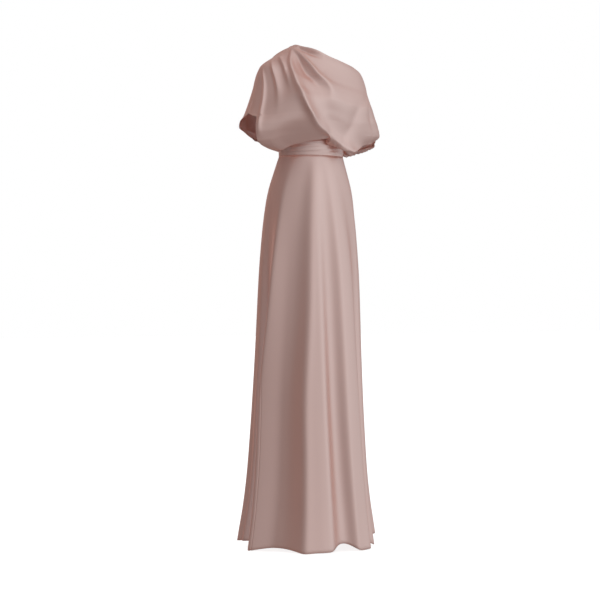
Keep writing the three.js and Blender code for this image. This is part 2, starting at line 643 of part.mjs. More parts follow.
const dress = new THREE.Group();
dress.name = "dress";
dress.position.set(-SHOULDER.x, -SHOULDER.y, -SHOULDER.height);
for (const [name, geometry] of Object.entries(PIECES)) {
  const satin = new THREE.MeshStandardMaterial({ color: SATIN_ROSE, roughness: SATIN_ROUGHNESS });
  const piece = new THREE.Mesh(geometry, satin);
  piece.name = name;
  dress.add(piece);
}

export default dress;
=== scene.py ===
"""A long one-shoulder evening dress in dusty rose satin, worn and hollow.

The tables give the dress in millimetres, with heights above its lowest hem. The shoulder, which is
the frame's origin, and MM turn them into the frame's metres. The front faces -Y and the wearer's
right is -X.
"""
import math

import bpy
import numpy as np
from bpy.props import FloatProperty, FloatVectorProperty, IntProperty, PointerProperty
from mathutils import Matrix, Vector


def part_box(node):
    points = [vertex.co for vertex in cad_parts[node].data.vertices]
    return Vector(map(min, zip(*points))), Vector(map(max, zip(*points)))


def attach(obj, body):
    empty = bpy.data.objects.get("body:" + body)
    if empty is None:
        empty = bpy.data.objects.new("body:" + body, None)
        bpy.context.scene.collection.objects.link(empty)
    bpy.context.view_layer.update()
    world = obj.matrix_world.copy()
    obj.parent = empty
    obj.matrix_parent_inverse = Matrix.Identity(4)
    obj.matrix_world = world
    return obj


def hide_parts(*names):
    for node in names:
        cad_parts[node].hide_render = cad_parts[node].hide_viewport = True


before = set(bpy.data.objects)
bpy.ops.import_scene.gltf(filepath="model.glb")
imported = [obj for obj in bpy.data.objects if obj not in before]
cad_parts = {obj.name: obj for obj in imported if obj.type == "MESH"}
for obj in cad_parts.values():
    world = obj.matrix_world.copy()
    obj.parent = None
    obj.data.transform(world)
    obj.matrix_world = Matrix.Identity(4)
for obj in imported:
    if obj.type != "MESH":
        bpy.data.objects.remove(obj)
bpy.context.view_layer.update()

bl_info = {
    "name": "One-shoulder satin dress",
    "version": (1, 0, 0),
    "blender": (4, 5, 0),
    "location": "3D View > Sidebar > Dress",
    "description": "Sews a draped cape bodice, a tucked band and a flared skirt round a worn form",
    "category": "Add Mesh",
}

MM = 0.001
BODY = "root"


def node_box(*nodes):
    """Lowest and highest corners of some nodes together."""
    corners = [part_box(node) for node in nodes]
    low = np.min([np.array(low) for low, high in corners], axis=0)
    high = np.max([np.array(high) for low, high in corners], axis=0)
    return low, high


# Heights of the hem, in the frame's metres, and of the waistband above it, from the CAD nodes
HEM_LEVEL = node_box("skirt_front", "skirt_back")[0][2]
BAND_LOW, BAND_HIGH = node_box("waistband_front", "waistband_back")
WAIST_HEIGHT = (BAND_LOW[2] - HEM_LEVEL) / MM
BAND_TOP = (BAND_HIGH[2] - HEM_LEVEL) / MM

# Where the wearer's shoulder carries the dress
SHOULDER = np.array([-118.0, 6.0, -HEM_LEVEL / MM])

# The waist, the gap at a seam, and how far the waistband stands out from the waist
WAIST_HALF_WIDTH = 106.0
WAIST_HALF_DEPTH = 82.0
SEAM_GAP = 0.3
BAND_PROUD = 1.2

# Rings of the cape above the sleeve openings, slung between the right and left arm lines: stage,
# from 0 at the neckline to 1 at the lowest edge, x and z on the right line, x and z on the left
# line, reach to the front and back, and how far the front and back of the ring tip down.
SHOULDER_RINGS = (
    (0.00, -50, 1551, 156, 1493, 66, 58, 0.23, -0.12),
    (0.05, -73, 1539, 177, 1481, 72, 62, 0.22, -0.12),
    (0.10, -100, 1523, 190, 1463, 78, 66, 0.20, -0.10),
    (0.15, -129, 1507, 197, 1445, 85, 71, 0.18, -0.08),
    (0.20, -156, 1492, 201, 1429, 92, 76, 0.15, -0.06),
    (0.25, -176, 1476, 203, 1414, 99, 81, 0.12, -0.04),
    (0.33, -187, 1453, 206, 1395, 111, 87, 0.09, -0.02),
    (0.45, -198, 1416, 212, 1372, 121, 92, 0.05, 0.00),
    (0.57, -210, 1380, 219, 1351, 127, 95, 0.02, 0.00),
    (0.74, -229, 1331, 232, 1319, 124, 97, 0.00, 0.00),
)

# Rings beside the sleeve openings. A cut is half the gap between front and back there.
PANEL_COLUMNS = (
    "stage", "right_x", "right_z", "left_x", "left_z", "depth", "right_cut", "left_cut",
)
FRONT_RINGS = (
    (0.78, -239, 1320, 239, 1305, 122.5, 43, 20),
    (0.83, -252, 1303, 245, 1290, 119, 50, 28),
    (0.88, -257, 1284, 251, 1275, 114, 52, 34),
    (0.93, -257, 1264, 254, 1260, 107.5, 52, 42),
    (0.96, -250, 1252, 249, 1250, 103, 53, 48),
    (0.98, -236, 1244, 240, 1243, 100, 55, 52),
    (1.00, -205, 1235, 225, 1235, 97, 57, 54),
)
BACK_RINGS = (
    (0.78, -235, 1318, 244, 1301, 98, 15, 6),
    (0.83, -249, 1299, 253, 1283, 99, 38, 8),
    (0.88, -257, 1280, 262, 1264, 100, 50, 10),
    (0.93, -238, 1264, 268, 1250, 100, 51, 16),
    (0.96, -220, 1250, 259, 1242, 99, 52, 25),
    (0.98, -209, 1243, 248, 1238, 98, 53, 35),
    (1.00, -200, 1235, 230, 1235, 97, 54, 46),
)

# The plane of the arm lines, half the gap between front and back there, and how full the rings are
SIDE_LINE_Y = 6.0
CAPE_HALF_GAP = 0.2
FULLNESS = 0.86

# On its right side the front falls away from its largest fold in a flatter line: the power that
# rounds its rings there, by stage, up to one angle, and back to FULLNESS at another.
FLAT_SIDE = (
    (0.0, 0.86), (0.12, 0.98), (0.35, 1.14), (0.55, 1.08), (0.74, 0.94), (0.88, 0.87), (1.0, 0.86),
)
FLAT_TO = 40.0
FULL_FROM = 90.0

# Rise and fall of the cape's lowest edge, by angle from the right arm line to the left one, and how
# fast the rings take it up.
FRONT_EDGE = (
    (0, 0), (16, -11), (30, -18), (40, -15), (50, 0), (60, 11), (70, 21), (80, 29), (86, 34),
    (94, 19), (99, 4), (105, -12), (110, -8), (120, 0), (130, 11), (150, 20), (180, 20),
)
BACK_EDGE = (
    (0, 0), (20, 13), (34, 17), (50, 10), (70, -8), (90, -17), (120, -18), (140, -10),
    (160, 3), (180, 24),
)
SWAY_POWER = 3

# Folds of the cape, each along a line of places: stage, angle, rise, which is negative in a groove,
# and the reach of its right and left flanks.
FRONT_FOLDS = (
    ((0.05, 3, 2, 4, 6), (0.09, 17, 6, 5, 10), (0.205, 40, 13, 8, 18), (0.388, 51.2, 19, 11, 30),
     (0.578, 58.4, 20, 13, 38), (0.735, 65.5, 17, 14, 42), (0.845, 75, 14, 14, 38),
     (0.943, 84.5, 11, 13, 30), (1, 91, 9, 12, 24)),
    ((0.26, 42, 0, 34, 20), (0.42, 50.5, 11, 52, 22), (0.58, 57, 23, 78, 26),
     (0.735, 63.5, 26, 95, 30), (0.86, 72.5, 23, 92, 32), (1, 86, 19, 70, 30)),
    ((0.052, 4, 2, 4, 5), (0.1, 39.5, 10, 7, 12), (0.175, 61, 16, 9, 20), (0.25, 73, 17, 11, 26),
     (0.32, 81.5, 14, 14, 34), (0.39, 85.5, 10, 18, 44), (0.525, 86.2, 6, 24, 54),
     (0.69, 86.8, 3, 28, 60), (0.84, 87.8, 0, 30, 60)),
    ((0.125, 4, 1, 3, 5), (0.16, 15, 6, 4, 9), (0.198, 28, 9, 5, 13), (0.307, 41, 8, 7, 18),
     (0.4, 45, 5, 10, 22), (0.5, 48.5, 2, 15, 26), (0.62, 53, 0, 20, 30)),
    ((0.195, 6, 2, 3, 5), (0.285, 24, 8, 5, 12), (0.4, 31, 8, 6, 14), (0.52, 35, 5, 9, 18),
     (0.66, 38, 2, 14, 22), (0.8, 43, 0, 18, 26)),
    ((0.283, 5, 2, 3, 4), (0.395, 14, 6, 4, 6), (0.547, 18.5, 8, 5, 7), (0.738, 20.5, 7, 6, 8),
     (0.838, 25.5, 5, 8, 10), (0.93, 28, 0, 10, 14)),
    ((0.212, 156, 0, 18, 14), (0.4, 136, -3, 20, 14), (0.56, 120, -5, 30, 24),
     (0.795, 109.5, -6, 34, 28), (0.91, 102.5, -6, 32, 28), (1, 99, -5, 30, 26)),
    ((0.485, 136, 0, 16, 12), (0.772, 137, -5, 24, 16), (0.925, 139.5, -3, 22, 16),
     (1, 141, 0, 20, 16)),
    ((0.015, 8, 0, 6, 6), (0.026, 22, -8, 8, 9), (0.03, 36, -11, 9, 10), (0.04, 50, -7, 10, 11),
     (0.055, 66, 0, 10, 11)),
    ((0.08, 26, 0, 8, 6), (0.15, 47, -5, 14, 9), (0.23, 62, -6.5, 22, 11), (0.32, 72, -5, 28, 14),
     (0.44, 77, -2, 32, 18), (0.56, 80, 0, 34, 20)),
)
BACK_FOLDS = (
    ((0.04, 8, 1, 4, 5), (0.08, 13, 4, 6, 10), (0.2, 40, 10, 10, 26), (0.5, 60, 14, 15, 38),
     (0.8, 76, 15, 20, 44), (1, 86, 10, 24, 38)),
    ((0.14, 12, 0, 5, 7), (0.36, 40, 9, 9, 20), (0.62, 50, 6, 13, 24), (0.9, 56, 0, 18, 26)),
    ((0.28, 16, 0, 5, 7), (0.5, 30, 5, 7, 14), (0.85, 40, 3, 10, 16), (1, 44, 0, 12, 18)),
    ((0.3, 126, 0, 26, 14), (0.65, 122, 9, 34, 20), (1, 118, 10, 34, 24)),
    ((0.02, 8, 1, 5, 6), (0.09, 46, 7, 8, 16), (0.19, 78, 8, 12, 26), (0.3, 100, 0, 20, 30)),
)

# How many points each fold's line is measured from, how steeply its flanks fall, and how near to a
# shoulder seam it calms down
FOLD_SAMPLES = 160
FLANK_SLOPE = 2.0
SEAM_CALM = 14.0

# A soft roll along the neckline: how far it stands out, how wide it is in stages, and between which
# angles it runs
NECK_ROLL_RISE = 7.0
NECK_ROLL_STAGES = 0.025
NECK_ROLL_FROM = 10.0
NECK_ROLL_TO = 80.0

# Below its lowest edge the cape turns under by TUCK_TURN, and comes over a hump to the waist.
TUCK_TURN = 12.0
TUCK_HUMP = 16.0

# Rings of the skirt, from its waist seam to the hem.
SKIRT_COLUMNS = ("height", "half", "front", "back")
SKIRT_RINGS = (
    (1207, 106, 82, 82),
    (1190, 111, 86, 89),
    (1150, 123, 95, 102),
    (1104, 137, 102, 112),
    (1057, 146, 106, 119),
    (964, 156, 111, 127),
    (825, 163, 117, 138),
    (639, 166, 126, 153),
    (453, 171, 136, 168),
    (267, 178, 148, 184),
    (127, 189, 158, 198),
    (0, 206, 168, 215),
)

# Crests and hollows in turn round the skirt: the angle of each at four heights, how far it stands
# out at the hip, thigh, knee and hem, and how far the hem lifts there.
FOLD_HEIGHTS = (1190, 800, 400, 0)
RISE_HEIGHTS = (1207, 1080, 800, 400, 0)
SKIRT_FOLDS = (
    ((26, 9, -5, -4), (1, 12, 27, 29), 0),
    ((47, 36, 24, 22), (-6, -16, -22, -24), 12),
    ((64, 61, 54, 54), (8, 15, 20, 24), 0),
    ((69, 67, 64, 66), (7, 12, 16, 18), 2),
    ((71, 73, 75, 78), (7, 13.5, 17, 17), 3),
    ((76, 83, 86, 91), (2.5, -0.5, -4.5, -9), 24),
    ((88, 96, 98.5, 103), (9, 17, 21, 22), 3),
    ((90, 103, 104, 106), (6, 15, 20, 19), 1),
    ((100, 117, 118, 119), (3, 11, 20, 24), 3),
    ((114, 128, 129, 131), (-1, -8, -14, -16), 14),
    ((130, 141, 143, 146), (1, 3, 5, 7), 1),
    ((152, 156, 158, 161), (-2, -10, -18, -24), 24),
    ((172, 174, 177, 177), (5, 18, 31, 43), 26),
    ((192, 195, 197, 197), (-2, -6, -10, -14), 26),
    ((214, 217, 220, 219), (3, 12, 20, 28), 12),
    ((238, 240, 242, 243), (-3, -9, -14, -20), 22),
    ((260, 262, 263, 264), (3, 10, 17, 24), 8),
    ((282, 283, 284, 284), (-2, -8, -13, -18), 20),
    ((304, 303, 303, 303), (3, 10, 17, 24), 12),
    ((320, 317, 315, 314), (-1, -4, -7, -10), 22),
    ((338, 331, 327, 326), (4, 13, 22, 31), 17),
    ((346, 336, 332, 331.5), (1, 1, 0, -2), 21),
    ((348, 338.5, 335, 335), (1, 6, 14, 21), 20),
    ((362, 350, 344, 345), (-4, -20, -35, -46), 24),
)

# How hollow the folds' steep and easy flanks are, the width of a crest as a share of its flank, and
# the degrees over which the cloth evens the folds out. The hem's rise and fall reaches up so far.
STEEP_FLANK = 2.6
EASY_FLANK = 1.9
CREST_WIDTH = 0.05
SOFT_AT_HEM = 2.0
SOFT_AT_WAIST = 3.0
SOFT_STEPS = np.linspace(-2, 2, 9)
HEM_REACH = 240.0

# Soft tucks of the waistband, each along a slanting line between two places: its angle round the
# waist and height above the seam, how far it stands out, and how far its upper side reaches. Its
# lower side reaches a share of that, and its ends die out over some degrees.
BAND_COLUMNS = ("start_angle", "start", "stop_angle", "stop", "rise", "reach")
BAND_TUCKS = (
    (-30, 30, 96, 43, 2.6, 8),
    (-24, 19, 118, 33, 2.2, 9),
    (8, 12, 152, 24, 1.7, 8),
    (70, 7, 186, 16, 1.3, 7),
    (172, 36, 292, 24, 2.2, 8),
    (196, 22, 334, 34, 1.9, 9),
    (244, 10, 350, 19, 1.5, 8),
)
TUCK_FOOT = 0.5
TUCK_END = 14.0

# How finely the pieces are drawn: the stops between which their rows are spaced evenly, and each
# stretch's number of rows, or the part by which the fineness is divided to give it. The bodice's
# back and the waistband have a share of the bodice front's columns.
CAPE_STOPS = (0, 0.74, 1, 2)
CAPE_ROW_PARTS = (2, 4, 8)
SKIRT_BREAK = 1000
SKIRT_TOP_ROWS = 24
SKIRT_ROW_PART = 2
BAND_ROWS = 48
BACK_SHARE = 3 / 4
BAND_SHARE = 2 / 3

# The small step in angle or stage over which a surface's slopes are measured
STEP = 2e-3

# Satin: how many finer layers its mottle and weave have, how much longer than wide the threads
# look, and the share of each stitch that is the gap before it
MOTTLE_DETAIL = 3.0
WEAVE_DETAIL = 2.0
THREAD_LENGTH = 6
STITCH_GAP = 0.25

# Camera: the point that it looks at, above the hem, and its sensor in millimetres
VIEW_CENTRE = (0.0901, 0.0136, 0.7626)
SENSOR_WIDTH = 36.0

# Large lights: turn from the camera, elevation, distance, width and height
KEY_LIGHT = (math.radians(65), math.radians(15), 3.5, 3.2, 3.0)
FILL_LIGHT = (math.radians(-50), math.radians(10), 4.5, 3.0, 3.0)

# The studio round the dress: where its soft light and its reflections are brightest, how flat and
# how steep the reflections' fall is, and how dark and over what height both fade towards the floor
SKY_ELEVATION = math.radians(15)
SOFT_TURN = math.radians(50)
GLOSS_TURN = math.radians(76)
GLOSS_FLATNESS = 0.7
GLOSS_ELEVATION = math.radians(14)
GLOSS_FALL = 1.35
FLOOR_DARK = 0.42
FLOOR_FADE = 0.5

# Floor: half its side, how far it lies below the hem, its grey and roughness, and how strongly it
# glows
FLOOR_HALF = 30.0
FLOOR_GAP = 0.001
FLOOR_GREY = 0.5
FLOOR_ROUGHNESS = 0.9
FLOOR_GLOW = 0.85

# Colour of the backdrop and of the floor's glow
WHITE = (1, 1, 1, 1)


def smoothstep(value, low, high):
    """0 below low, 1 above high, and a soft step between them."""
    t = np.clip((value - low) / (high - low), 0, 1)
    return t * t * (3 - 2 * t)


def lerp(start, end, share):
    """A value that lies a share of the way from start to end."""
    return start + (end - start) * share


def curve_through(x, y, tangent):
    """A curve through points in rising order of x, with a slope at each."""
    span = np.diff(x)

    def at(value):
        value = np.clip(value, x[0], x[-1])
        i = np.clip(np.searchsorted(x, value, side="right") - 1, 0, len(span) - 1)
        t = (value - x[i]) / span[i]
        t2, t3 = t * t, t * t * t
        return (
            (2 * t3 - 3 * t2 + 1) * y[i]
            + (t3 - 2 * t2 + t) * span[i] * tangent[i]
            + (3 * t2 - 2 * t3) * y[i + 1]
            + (t3 - t2) * span[i] * tangent[i + 1]
        )

    return at


def smooth_curve(x, y):
    """A smooth curve through points in rising order of x, that never overshoots them."""
    x, y = np.asarray(x, float), np.asarray(y, float)
    slope = np.diff(y) / np.diff(x)
    before, after = slope[:-1], slope[1:]
    agree = before * after > 0
    inner = np.where(agree, 2 * before * after / np.where(agree, before + after, 1), 0)
    return curve_through(x, y, np.concatenate([slope[:1], inner, slope[-1:]]))


def flowing_curve(x, y):
    """A smooth curve that passes each point in the direction of its neighbours."""
    span = np.diff(x)
    slope = np.diff(y) / span
    inner = (slope[:-1] * span[1:] + slope[1:] * span[:-1]) / (span[:-1] + span[1:])
    return curve_through(x, y, np.concatenate([slope[:1], inner, slope[-1:]]))


def smooth_table(columns, rows):
    """A smooth curve for each column of a table after its first, which says where the rows are."""
    data = np.array(sorted(rows), float).T
    return {name: smooth_curve(data[0], values) for name, values in zip(columns[1:], data[1:])}


def unit(vectors):
    """Vectors of the same directions with length 1."""
    return vectors / np.linalg.norm(vectors, axis=-1, keepdims=True)


def stack(x, y, z):
    """Points from their three coordinates."""
    return np.stack(np.broadcast_arrays(x, y, z), axis=-1)


def surface_normal(surface, across, down):
    """Outward normals of a surface whose first number runs across and second runs down."""
    along_across = surface(across + STEP, down) - surface(across - STEP, down)
    along_down = surface(across, down + STEP) - surface(across, down - STEP)
    return unit(np.cross(along_down, along_across))


class FoldLine:
    """A fold that follows a smooth line over a form. side is 1 at the front and -1 at the back."""

    def __init__(self, form, side, rows):
        stage, angle, rise, right, left = np.array(rows, float).T
        knots = form(np.radians(angle), stage)
        steps = np.linalg.norm(np.diff(knots, axis=0), axis=-1)
        along = np.concatenate([[0], steps.cumsum()])
        self.side = side
        self.rise = smooth_curve(along, rise)
        self.right, self.left = smooth_curve(along, right), smooth_curve(along, left)
        self.along = np.linspace(0, along[-1], FOLD_SAMPLES)
        self.points = stack(*(flowing_curve(along, axis)(self.along) for axis in knots.T))
        self.heading = unit(np.gradient(self.points, axis=0))

    def lift(self, points, outward):
        """How far the fold lifts each point, by the distance square to the fold's line."""
        near = -2 * points @ self.points.T + np.square(self.points).sum(axis=1)
        nearest = near.argmin(axis=-1)
        away = points - self.points[nearest]
        heading = self.heading[nearest]
        along = self.along[nearest] + (away * heading).sum(axis=-1)
        to_right = unit(np.cross(heading, outward)) * self.side
        distance = (away * to_right).sum(axis=-1)
        reach = np.where(distance > 0, self.right(along), self.left(along))
        return self.rise(along) * np.exp(1 - np.hypot(1, FLANK_SLOPE * distance / reach))


class CapePanel:
    """The front or back of the cape. side is 1 at the front and -1 at the back."""

    def __init__(self, side, own_rings, edge, folds):
        self.side = side
        shared = [
            (*place, front if side > 0 else back, 0, 0, front_lean if side > 0 else back_lean)
            for *place, front, back, front_lean, back_lean in SHOULDER_RINGS
        ]
        own = [(*ring, 0) for ring in own_rings]
        self.ring = smooth_table((*PANEL_COLUMNS, "lean"), shared + own)
        self.edge_lift = smooth_curve(*zip(*edge))
        self.flat_side = smooth_curve(*zip(*FLAT_SIDE))
        self.folds = [FoldLine(self.form, side, rows) for rows in folds]

    def fullness(self, angle, stage):
        """The power that rounds a ring: an ellipse at 1, fuller below it and flatter above it."""
        if self.side < 0:
            return FULLNESS
        full = smoothstep(np.degrees(angle), FLAT_TO, FULL_FROM)
        return lerp(self.flat_side(stage), FULLNESS, full)

    def form(self, angle, stage):
        """Points of the cape without its folds."""
        ring = self.ring
        share = (1 - np.cos(angle)) / 2
        turn = np.sin(angle)
        reach = np.sign(turn) * np.abs(turn) ** self.fullness(angle, stage)
        out = ring["depth"](stage) * reach
        lift = self.edge_lift(np.degrees(angle)) * np.clip(stage, 0, None) ** SWAY_POWER
        return stack(
            lerp(ring["right_x"](stage), ring["left_x"](stage), share),
            SIDE_LINE_Y - self.side * out,
            lerp(ring["right_z"](stage), ring["left_z"](stage), share)
            - ring["lean"](stage) * out
            + lift,
        )

    def span(self, stage):
        """Angles at which rings meet the two sleeve openings, or the arm lines above them."""
        def edge(cut, angle):
            share = np.maximum(cut, CAPE_HALF_GAP) / self.ring["depth"](stage)
            return np.arcsin(share ** (1 / self.fullness(angle, stage)))

        right = edge(self.ring["right_cut"](stage), 0)
        left = edge(self.ring["left_cut"](stage), math.pi)
        return right, math.pi - left

    def cloth(self, angle, stage):
        """Points of the cape with its folds, which die out at the shoulder seam."""
        turn = (np.degrees(angle) - NECK_ROLL_FROM) / (NECK_ROLL_TO - NECK_ROLL_FROM)
        roll = np.sin(np.clip(turn, 0, 1) * math.pi) ** 2
        rise = NECK_ROLL_RISE * roll * np.exp(-((stage / NECK_ROLL_STAGES) ** 2))
        points = self.form(angle, stage)
        outward = surface_normal(self.form, angle, stage) * self.side
        for fold in self.folds:
            rise = rise + fold.lift(points, outward)
        seam = smoothstep(np.abs(points[..., 1] - SIDE_LINE_Y), CAPE_HALF_GAP, SEAM_CALM)
        return points + outward * (rise * seam)[..., None]

    def tuck(self, angle, stage):
        """Past its lowest edge the cape turns under and goes back to the waist, to stage 2."""
        right, left = self.span(1.0)
        gap = CAPE_HALF_GAP / WAIST_HALF_DEPTH
        round_waist = lerp(gap, math.pi - gap, (angle - right) / (left - right))
        waist = stack(
            -WAIST_HALF_WIDTH * np.cos(round_waist),
            -self.side * WAIST_HALF_DEPTH * np.sin(round_waist),
            BAND_TOP + SEAM_GAP,
        )
        edge = self.cloth(angle, np.ones_like(angle))
        fall = unit(edge - self.cloth(angle, np.ones_like(angle) - STEP))
        outward = unit((edge - waist) * (1, 1, 0))
        turned = edge + fall * TUCK_TURN
        raised = waist + outward * TUCK_TURN + (0, 0, TUCK_HUMP)
        t = np.clip(stage - 1, 0, 1)[..., None]
        u = 1 - t
        return u**3 * edge + 3 * u * u * t * turned + 3 * u * t * t * raised + t**3 * waist

    def grid(self, columns, rows):
        """The panel's points, with columns that close up towards a sleeve opening."""
        share = np.linspace(0, 1, columns + 1)[None, :]
        stage = np.asarray(rows, float)[:, None]
        right, left = self.span(np.minimum(stage, 1))
        near_right = np.maximum(1 - 2 * share, 0) ** 2
        near_left = np.maximum(2 * share - 1, 0) ** 2
        angle = math.pi * share + right * near_right - (math.pi - left) * near_left
        stage = np.broadcast_to(stage, angle.shape)
        points = np.where((stage > 1)[..., None], self.tuck(angle, stage), self.cloth(angle, stage))
        return points if self.side > 0 else points[:, ::-1]


def rows_through(stops, counts):
    """Rows spaced evenly over each stretch between two stops."""
    pieces = [np.linspace(a, b, n, endpoint=False) for a, b, n in zip(stops, stops[1:], counts)]
    return np.concatenate([*pieces, stops[-1:]])


skirt_ring = smooth_table(SKIRT_COLUMNS, SKIRT_RINGS)


def flank(onward, power):
    """Share of a fold's rise, from 1 at its rounded crest down to 0 at the hollow beside it."""
    rounded = np.hypot(onward, CREST_WIDTH) - CREST_WIDTH
    t = rounded / (math.hypot(1, CREST_WIDTH) - CREST_WIDTH)
    return (1 - t) ** power


def skirt_fold(angle, height):
    """Rise and hem lift at an angle. A crest is steep towards the fold before it."""
    places = [smooth_curve(FOLD_HEIGHTS[::-1], fold[0][::-1])(height) for fold in SKIRT_FOLDS]
    places.append(places[0] + 360)
    rises = [smooth_curve(RISE_HEIGHTS[::-1], (*fold[1][::-1], 0))(height) for fold in SKIRT_FOLDS]
    lifts = [fold[2] for fold in SKIRT_FOLDS]
    turned = places[0] + (np.degrees(angle) - places[0]) % 360
    rise, lift = np.zeros_like(turned), np.zeros_like(turned)
    count = len(SKIRT_FOLDS)
    for i in range(count):
        onward = (turned - places[i]) / (places[i + 1] - places[i])
        inside = (onward >= 0) & (onward < 1)
        falls = i % 2 == 0
        crest, hollow = (i, (i + 1) % count) if falls else ((i + 1) % count, i)
        t = np.clip(onward if falls else 1 - onward, 0, 1)
        share = flank(t, EASY_FLANK if falls else STEEP_FLANK)
        rise = np.where(inside, lerp(rises[hollow], rises[crest], share), rise)
        lift = np.where(inside, lerp(lifts[hollow], lifts[crest], share), lift)
    return rise, lift


def soft_skirt_fold(angle, height):
    """Folds evened out over a few degrees, as the cloth's stiffness does, most at the waist."""
    reach = np.radians(lerp(SOFT_AT_HEM, SOFT_AT_WAIST, smoothstep(height, 0, WAIST_HEIGHT)))
    weights = np.exp(-np.square(SOFT_STEPS) / 2)
    folds = [skirt_fold(angle + step * reach, height) for step in SOFT_STEPS]
    rise, lift = np.tensordot(weights / weights.sum(), np.array(folds), axes=1)
    return rise, lift


def half_turn(side, columns):
    """Angles round the front or back of the waist, from seam to seam."""
    gap = SEAM_GAP / 2 / WAIST_HALF_DEPTH
    start = 0 if side > 0 else math.pi
    return start + np.linspace(gap, math.pi - gap, columns + 1)[None, :]


def skirt_grid(side, columns, rows):
    """Points of the skirt's front or back. side is 1 at the front and -1 at the back."""
    height = np.asarray(rows, float)[:, None]
    angle, height = np.broadcast_arrays(half_turn(side, columns), height)
    half = skirt_ring["half"](height)
    depth = np.where(np.sin(angle) > 0, skirt_ring["front"](height), skirt_ring["back"](height))
    rise, lift = soft_skirt_fold(angle, height)
    out = unit(np.stack([-np.cos(angle) * depth, -np.sin(angle) * half], axis=-1))
    near_hem = smoothstep(1 - height / HEM_REACH, 0, 1)
    return stack(
        -np.cos(angle) * half + out[..., 0] * rise,
        -np.sin(angle) * depth + out[..., 1] * rise,
        height + lift * near_hem,
    )


def band_rise(angle, height):
    """How far the waistband's tucks stand out, by angle in degrees and height above its seam."""
    rise = np.zeros_like(angle)
    for row in BAND_TUCKS:
        tuck = dict(zip(BAND_COLUMNS, row))
        for turn in (0, 360):
            start, stop = tuck["start_angle"] + turn, tuck["stop_angle"] + turn
            share = smoothstep(angle, start, stop)
            above = height - lerp(tuck["start"], tuck["stop"], share)
            reach = np.where(above > 0, tuck["reach"], tuck["reach"] * TUCK_FOOT)
            end = smoothstep(np.minimum(angle - start, stop - angle), 0, TUCK_END)
            rise = rise + tuck["rise"] * end * np.exp(-((above / reach) ** 2))
    return rise


def band_grid(side, columns, rows, tuck):
    """Points of the waistband's front or back, with its tucks standing out by a share."""
    height = np.linspace(BAND_TOP, WAIST_HEIGHT, rows + 1)[:, None]
    angle, height = np.broadcast_arrays(half_turn(side, columns), height)
    above = height - WAIST_HEIGHT
    level = np.sin(above / (BAND_TOP - WAIST_HEIGHT) * math.pi)
    proud = BAND_PROUD + tuck * band_rise(np.degrees(angle), above) * np.sqrt(level)
    return stack(
        -(WAIST_HALF_WIDTH + proud) * np.cos(angle),
        -(WAIST_HALF_DEPTH + proud) * np.sin(angle),
        height,
    )


def grid_normals(grid):
    """Outward normals at a grid of points."""
    along_down, along_across = np.gradient(grid, axis=(0, 1))
    return unit(np.cross(along_down, along_across))


def lengths_along(grid, axis):
    """Lengths of cloth down from the top at axis 0, or across from the first column at axis 1."""
    lengths = np.linalg.norm(np.diff(grid, axis=axis), axis=-1).cumsum(axis=axis)
    return np.pad(lengths, ((1, 0), (0, 0)) if axis == 0 else ((0, 0), (1, 0)))


def edge_lengths(grid, hemmed):
    """How far each point lies from the nearest hem of the cloth, in metres."""
    from_top, from_start = lengths_along(grid, 0), lengths_along(grid, 1)
    lengths = {
        "top": from_top,
        "foot": from_top[-1:] - from_top,
        "sides": np.minimum(from_start, from_start[:, -1:] - from_start),
    }
    return np.min([lengths[name] for name in hemmed], axis=0) * MM


def cloth_lengths(grid):
    """How far each point lies across from the cloth's middle and down from its top, in metres."""
    across = lengths_along(grid, 1)
    across = across - across[:, -1:] / 2
    down = lengths_along(grid, 0).mean(axis=1, keepdims=True)
    return across * MM, np.broadcast_to(down * MM, across.shape)


def closed_wall(grid, thickness):
    """Points and faces of a wall over a grid: outer face, inner face and a rounded rim.

    The border, which comes third, lists the grid's points that the rim follows.
    """
    rows, columns = grid.shape[:2]
    count = rows * columns
    index = np.arange(count).reshape(rows, columns)
    outer_faces = np.stack(
        [index[:-1, :-1], index[1:, :-1], index[1:, 1:], index[:-1, 1:]], axis=-1
    ).reshape(-1, 4)
    border = np.concatenate([index[:-1, 0], index[-1, :-1], index[:0:-1, -1], index[0, :0:-1]])
    inside = np.concatenate([index[:-1, 1], index[-2, :-1], index[:0:-1, -2], index[1, :0:-1]])
    outer = grid.reshape(-1, 3)
    inner = (grid - grid_normals(grid) * thickness).reshape(-1, 3)
    away = unit(outer[border] - outer[inside])
    rim = (outer[border] + inner[border]) / 2 + away * (thickness / 2)
    ring = 2 * count + np.arange(len(border))
    next_border, next_ring = np.roll(border, -1), np.roll(ring, -1)
    faces = np.concatenate([
        outer_faces,
        outer_faces[:, ::-1] + count,
        np.stack([border, ring, next_ring, next_border], axis=-1),
        np.stack([ring, border + count, next_border + count, next_ring], axis=-1),
    ])
    return np.concatenate([outer, inner, rim]), faces, border


